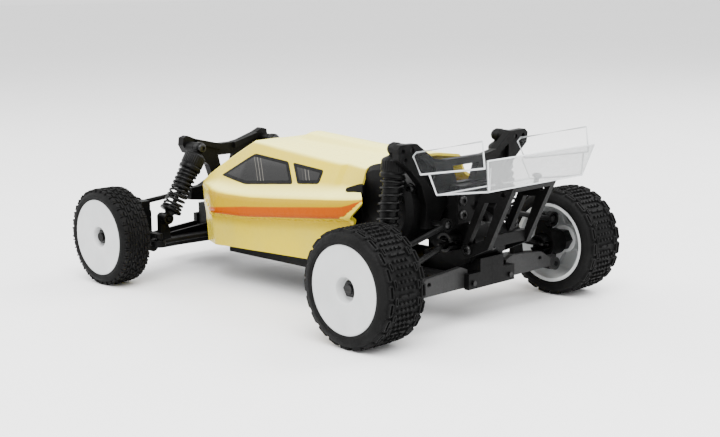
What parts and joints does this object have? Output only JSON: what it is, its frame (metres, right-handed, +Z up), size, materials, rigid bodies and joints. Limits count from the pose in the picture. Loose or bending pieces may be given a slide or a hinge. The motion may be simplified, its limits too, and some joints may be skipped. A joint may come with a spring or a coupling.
{
  "type": "radio controlled buggy",
  "caption": "Small electric off-road buggy with sprung arm suspension, steered front wheels, geared rear drive, a lift-off body shell and a clear rear wing.",
  "frame": {"origin": "on the ground under the tyres, at the middle of the overall box in length and width", "axes": "+X forward along the car, +Y to its left, +Z up"},
  "size_m": [0.167, 0.11, 0.0572],
  "materials": {
    "painted_shell": "glossy polycarbonate, cream with yellow and orange bands",
    "clear_plastic": "clear glossy polycarbonate",
    "tyre_rubber": "matte moulded rubber",
    "white_nylon": "satin white nylon",
    "spring_steel": "black coated spring wire",
    "bright_steel": "bright plated steel",
    "brass": "machined brass",
    "gear_acetal": "moulded acetal",
    "battery_wrap": "shrink wrap over cells",
    "electronics_case": "fine moulded texture",
    "shock_plastic": "satin black moulding",
    "dark_steel": "blackened steel",
    "black_nylon": "satin glass-filled nylon"
  },
  "bodies": {
    "chassis": {"chassis_tub": "black_nylon", "front_bumper": "black_nylon", "front_shock_tower": "black_nylon", "rear_shock_tower": "black_nylon", "gearbox_case": "black_nylon", "gear_cover": "black_nylon", "motor": "bright_steel", "wing_mount": "black_nylon", "rear_wing": "clear_plastic", "steering_servo": "electronics_case", "battery": "battery_wrap", "receiver_unit": "electronics_case", "pins_and_screws": "bright_steel"},
    "body_shell": {"body_shell": "painted_shell"},
    "motor_pinion": {"motor_pinion": "brass"},
    "spur_gear": {"spur_gear": "gear_acetal"},
    "idler_gear": {"idler_gear": "gear_acetal"},
    "differential": {"differential": "dark_steel"},
    "servo_horn": {"servo_horn": "black_nylon"},
    "steering_rack": {"steering_rack": "black_nylon"},
    "drive_shaft_left": {"drive_shaft_left": "dark_steel"},
    "tie_rod_left": {"tie_rod_left": "black_nylon"},
    "front_arm_left": {"front_arm_left": "black_nylon"},
    "caster_block_left": {"caster_block_left": "black_nylon"},
    "knuckle_left": {"knuckle_left": "black_nylon"},
    "front_camber_link_left": {"front_camber_link_left": "black_nylon"},
    "front_shock_body_left": {"front_shock_body_left": "shock_plastic"},
    "rear_arm_left": {"rear_arm_left": "black_nylon"},
    "hub_carrier_left": {"hub_carrier_left": "black_nylon"},
    "rear_camber_link_left": {"rear_camber_link_left": "black_nylon"},
    "rear_shock_body_left": {"rear_shock_body_left": "shock_plastic"},
    "front_shock_shaft_left": {"front_shock_shaft_left": "shock_plastic", "front_spring_left": "spring_steel"},
    "rear_shock_shaft_left": {"rear_shock_shaft_left": "shock_plastic", "rear_spring_left": "spring_steel"},
    "front_wheel_left": {"front_rim_left": "white_nylon", "front_tyre_left": "tyre_rubber"},
    "rear_wheel_left": {"rear_rim_left": "white_nylon", "rear_tyre_left": "tyre_rubber", "rear_axle_left": "bright_steel"},
    "drive_shaft_right": {"drive_shaft_right": "dark_steel"},
    "tie_rod_right": {"tie_rod_right": "black_nylon"},
    "front_arm_right": {"front_arm_right": "black_nylon"},
    "caster_block_right": {"caster_block_right": "black_nylon"},
    "knuckle_right": {"knuckle_right": "black_nylon"},
    "front_camber_link_right": {"front_camber_link_right": "black_nylon"},
    "front_shock_body_right": {"front_shock_body_right": "shock_plastic"},
    "rear_arm_right": {"rear_arm_right": "black_nylon"},
    "hub_carrier_right": {"hub_carrier_right": "black_nylon"},
    "rear_camber_link_right": {"rear_camber_link_right": "black_nylon"},
    "rear_shock_body_right": {"rear_shock_body_right": "shock_plastic"},
    "front_shock_shaft_right": {"front_shock_shaft_right": "shock_plastic", "front_spring_right": "spring_steel"},
    "rear_shock_shaft_right": {"rear_shock_shaft_right": "shock_plastic", "rear_spring_right": "spring_steel"},
    "front_wheel_right": {"front_rim_right": "white_nylon", "front_tyre_right": "tyre_rubber"},
    "rear_wheel_right": {"rear_rim_right": "white_nylon", "rear_tyre_right": "tyre_rubber", "rear_axle_right": "bright_steel"}
  },
  "joints": [
    {"name": "body_shell_lift", "type": "slide", "parent": "chassis", "child": "body_shell", "axis": [0, 0, 1], "range_m": [0, 0.03]},
    {"name": "front_arm_left_swing", "type": "hinge", "parent": "chassis", "child": "front_arm_left", "pos_m": [0.066, 0.0085, 0.012], "axis": [1, 0, 0], "range_deg": [-6, 12], "stiffness_Nm_per_rad": 0.11, "springref_deg": -6.88},
    {"name": "caster_block_left_swing", "type": "hinge", "parent": "front_arm_left", "child": "caster_block_left", "pos_m": [0.066, 0.036, 0.012], "axis": [1, 0, 0], "range_deg": [-14.02, 7.02]},
    {"name": "front_camber_link_left_swing", "type": "hinge", "parent": "chassis", "child": "front_camber_link_left", "pos_m": [0.069, 0.0145, 0.0276], "axis": [1, 0, 0], "range_deg": [-7.63, 15.25]},
    {"name": "front_shock_left_swing", "type": "hinge", "parent": "chassis", "child": "front_shock_body_left", "pos_m": [0.0562, 0.0173, 0.0449], "axis": [1, 0, 0], "range_deg": [-0.84, 1.66]},
    {"name": "front_shock_left_travel", "type": "slide", "parent": "front_shock_body_left", "child": "front_shock_shaft_left", "axis": [0, -0.5438, 0.8392], "range_m": [-0.0027, 0.00539], "deforming": ["front_spring_left"]},
    {"name": "front_wheel_left_spin", "type": "hinge", "parent": "knuckle_left", "child": "front_wheel_left", "pos_m": [0.066, 0.04925, 0.01675], "axis": [0, 1, 0], "continuous": true},
    {"name": "rear_arm_left_swing", "type": "hinge", "parent": "chassis", "child": "rear_arm_left", "pos_m": [-0.056, 0.0085, 0.013], "axis": [1, 0, 0], "range_deg": [-6, 12], "stiffness_Nm_per_rad": 0.14, "springref_deg": -9.17},
    {"name": "hub_carrier_left_swing", "type": "hinge", "parent": "rear_arm_left", "child": "hub_carrier_left", "pos_m": [-0.056, 0.036, 0.0115], "axis": [1, 0, 0], "range_deg": [-16.47, 8.24]},
    {"name": "rear_camber_link_left_swing", "type": "hinge", "parent": "chassis", "child": "rear_camber_link_left", "pos_m": [-0.059, 0.015, 0.031], "axis": [1, 0, 0], "range_deg": [-8.02, 16.03]},
    {"name": "rear_shock_left_swing", "type": "hinge", "parent": "chassis", "child": "rear_shock_body_left", "pos_m": [-0.0469, 0.0238, 0.0535], "axis": [1, 0, 0], "range_deg": [-0.99, 0.5]},
    {"name": "rear_shock_left_travel", "type": "slide", "parent": "rear_shock_body_left", "child": "rear_shock_shaft_left", "axis": [0, -0.1607, 0.987], "range_m": [-0.0023, 0.00458], "deforming": ["rear_spring_left"]},
    {"name": "rear_wheel_left_spin", "type": "hinge", "parent": "hub_carrier_left", "child": "rear_wheel_left", "pos_m": [-0.056, 0.0465, 0.0175], "axis": [0, 1, 0], "continuous": true},
    {"name": "drive_shaft_left_spin", "type": "hinge", "parent": "rear_arm_left", "child": "drive_shaft_left", "pos_m": [-0.056, 0.01, 0.025], "axis": [0, 0.9562, -0.2927], "continuous": true},
    {"name": "front_arm_right_swing", "type": "hinge", "parent": "chassis", "child": "front_arm_right", "pos_m": [0.066, -0.0085, 0.012], "axis": [-1, 0, 0], "range_deg": [-6, 12], "stiffness_Nm_per_rad": 0.11, "springref_deg": -6.88},
    {"name": "caster_block_right_swing", "type": "hinge", "parent": "front_arm_right", "child": "caster_block_right", "pos_m": [0.066, -0.036, 0.012], "axis": [-1, 0, 0], "range_deg": [-14.02, 7.02]},
    {"name": "front_camber_link_right_swing", "type": "hinge", "parent": "chassis", "child": "front_camber_link_right", "pos_m": [0.069, -0.0145, 0.0276], "axis": [-1, 0, 0], "range_deg": [-7.63, 15.25]},
    {"name": "front_shock_right_swing", "type": "hinge", "parent": "chassis", "child": "front_shock_body_right", "pos_m": [0.0562, -0.0173, 0.0449], "axis": [-1, 0, 0], "range_deg": [-0.84, 1.66]},
    {"name": "front_shock_right_travel", "type": "slide", "parent": "front_shock_body_right", "child": "front_shock_shaft_right", "axis": [0, 0.5438, 0.8392], "range_m": [-0.0027, 0.00539], "deforming": ["front_spring_right"]},
    {"name": "front_wheel_right_spin", "type": "hinge", "parent": "knuckle_right", "child": "front_wheel_right", "pos_m": [0.066, -0.04925, 0.01675], "axis": [0, 1, 0], "continuous": true},
    {"name": "rear_arm_right_swing", "type": "hinge", "parent": "chassis", "child": "rear_arm_right", "pos_m": [-0.056, -0.0085, 0.013], "axis": [-1, 0, 0], "range_deg": [-6, 12], "stiffness_Nm_per_rad": 0.14, "springref_deg": -9.17},
    {"name": "hub_carrier_right_swing", "type": "hinge", "parent": "rear_arm_right", "child": "hub_carrier_right", "pos_m": [-0.056, -0.036, 0.0115], "axis": [-1, 0, 0], "range_deg": [-16.47, 8.24]},
    {"name": "rear_camber_link_right_swing", "type": "hinge", "parent": "chassis", "child": "rear_camber_link_right", "pos_m": [-0.059, -0.015, 0.031], "axis": [-1, 0, 0], "range_deg": [-8.02, 16.03]},
    {"name": "rear_shock_right_swing", "type": "hinge", "parent": "chassis", "child": "rear_shock_body_right", "pos_m": [-0.0469, -0.0238, 0.0535], "axis": [-1, 0, 0], "range_deg": [-0.99, 0.5]},
    {"name": "rear_shock_right_travel", "type": "slide", "parent": "rear_shock_body_right", "child": "rear_shock_shaft_right", "axis": [0, 0.1607, 0.987], "range_m": [-0.0023, 0.00458], "deforming": ["rear_spring_right"]},
    {"name": "rear_wheel_right_spin", "type": "hinge", "parent": "hub_carrier_right", "child": "rear_wheel_right", "pos_m": [-0.056, -0.0465, 0.0175], "axis": [0, 1, 0], "continuous": true},
    {"name": "drive_shaft_right_spin", "type": "hinge", "parent": "rear_arm_right", "child": "drive_shaft_right", "pos_m": [-0.056, -0.01, 0.025], "axis": [0, 0.9562, 0.2927], "continuous": true},
    {"name": "steering_left", "type": "hinge", "parent": "caster_block_left", "child": "knuckle_left", "pos_m": [0.065, 0.0395, 0.018], "axis": [0, 0, 1], "range_deg": [-20, 20]},
    {"name": "steering_right", "type": "hinge", "parent": "caster_block_right", "child": "knuckle_right", "pos_m": [0.065, -0.0395, 0.018], "axis": [0, 0, 1], "range_deg": [-20.5, 20.5]},
    {"name": "steering_rack_travel", "type": "slide", "parent": "chassis", "child": "steering_rack", "axis": [0, 1, 0], "range_m": [-0.0048, 0.0048]},
    {"name": "servo_horn_swing", "type": "hinge", "parent": "chassis", "child": "servo_horn", "pos_m": [0.05, 0, 0.0165], "axis": [1, 0, 0], "range_deg": [-39, 39]},
    {"name": "tie_rod_left_swing", "type": "hinge", "parent": "steering_rack", "child": "tie_rod_left", "pos_m": [0.052, 0.012, 0.0145], "axis": [1, 0, 0], "range_deg": [-6.31, 12.61]},
    {"name": "tie_rod_right_swing", "type": "hinge", "parent": "steering_rack", "child": "tie_rod_right", "pos_m": [0.052, -0.012, 0.0145], "axis": [-1, 0, 0], "range_deg": [-6.31, 12.61]},
    {"name": "differential_spin", "type": "hinge", "parent": "chassis", "child": "differential", "pos_m": [-0.056, 0, 0.025], "axis": [0, 1, 0], "continuous": true},
    {"name": "idler_gear_spin", "type": "hinge", "parent": "chassis", "child": "idler_gear", "pos_m": [-0.04592, 0, 0.03075], "axis": [0, 1, 0], "continuous": true},
    {"name": "spur_gear_spin", "type": "hinge", "parent": "chassis", "child": "spur_gear", "pos_m": [-0.03811, 0, 0.03521], "axis": [0, 1, 0], "continuous": true},
    {"name": "motor_pinion_spin", "type": "hinge", "parent": "chassis", "child": "motor_pinion", "pos_m": [-0.02608, 0, 0.03083], "axis": [0, 1, 0], "continuous": true}
  ],
  "couplings": [
    {"joint": "caster_block_left_swing", "follows": "front_arm_left_swing", "ratio": -1.145},
    {"joint": "front_camber_link_left_swing", "follows": "front_arm_left_swing", "ratio": 1.245},
    {"joint": "front_shock_left_swing", "follows": "front_arm_left_swing", "ratio": 0.135},
    {"joint": "front_shock_left_travel", "follows": "front_arm_left_swing", "m_per_rad": 0.0252},
    {"joint": "hub_carrier_left_swing", "follows": "rear_arm_left_swing", "ratio": -1.345},
    {"joint": "rear_camber_link_left_swing", "follows": "rear_arm_left_swing", "ratio": 1.309},
    {"joint": "rear_shock_left_swing", "follows": "rear_arm_left_swing", "ratio": -0.08},
    {"joint": "rear_shock_left_travel", "follows": "rear_arm_left_swing", "m_per_rad": 0.0214},
    {"joint": "drive_shaft_left_spin", "follows": "rear_wheel_left_spin", "ratio": 1},
    {"joint": "caster_block_right_swing", "follows": "front_arm_right_swing", "ratio": -1.145},
    {"joint": "front_camber_link_right_swing", "follows": "front_arm_right_swing", "ratio": 1.245},
    {"joint": "front_shock_right_swing", "follows": "front_arm_right_swing", "ratio": 0.135},
    {"joint": "front_shock_right_travel", "follows": "front_arm_right_swing", "m_per_rad": 0.0252},
    {"joint": "hub_carrier_right_swing", "follows": "rear_arm_right_swing", "ratio": -1.345},
    {"joint": "rear_camber_link_right_swing", "follows": "rear_arm_right_swing", "ratio": 1.309},
    {"joint": "rear_shock_right_swing", "follows": "rear_arm_right_swing", "ratio": -0.08},
    {"joint": "rear_shock_right_travel", "follows": "rear_arm_right_swing", "m_per_rad": 0.0214},
    {"joint": "drive_shaft_right_spin", "follows": "rear_wheel_left_spin", "ratio": 1},
    {"joint": "rear_wheel_right_spin", "follows": "rear_wheel_left_spin", "ratio": 1},
    {"joint": "steering_right", "follows": "steering_left", "ratio": 1},
    {"joint": "steering_rack_travel", "follows": "steering_left", "m_per_rad": -0.01324},
    {"joint": "servo_horn_swing", "follows": "steering_left", "ratio": 1.9},
    {"joint": "tie_rod_left_swing", "follows": "front_arm_left_swing", "ratio": 1},
    {"joint": "tie_rod_right_swing", "follows": "front_arm_right_swing", "ratio": 1},
    {"joint": "differential_spin", "follows": "rear_wheel_left_spin", "ratio": 1},
    {"joint": "idler_gear_spin", "follows": "rear_wheel_left_spin", "ratio": -1.2308},
    {"joint": "spur_gear_spin", "follows": "rear_wheel_left_spin", "ratio": 1.6842},
    {"joint": "motor_pinion_spin", "follows": "rear_wheel_left_spin", "ratio": -7.2982}
  ]
}
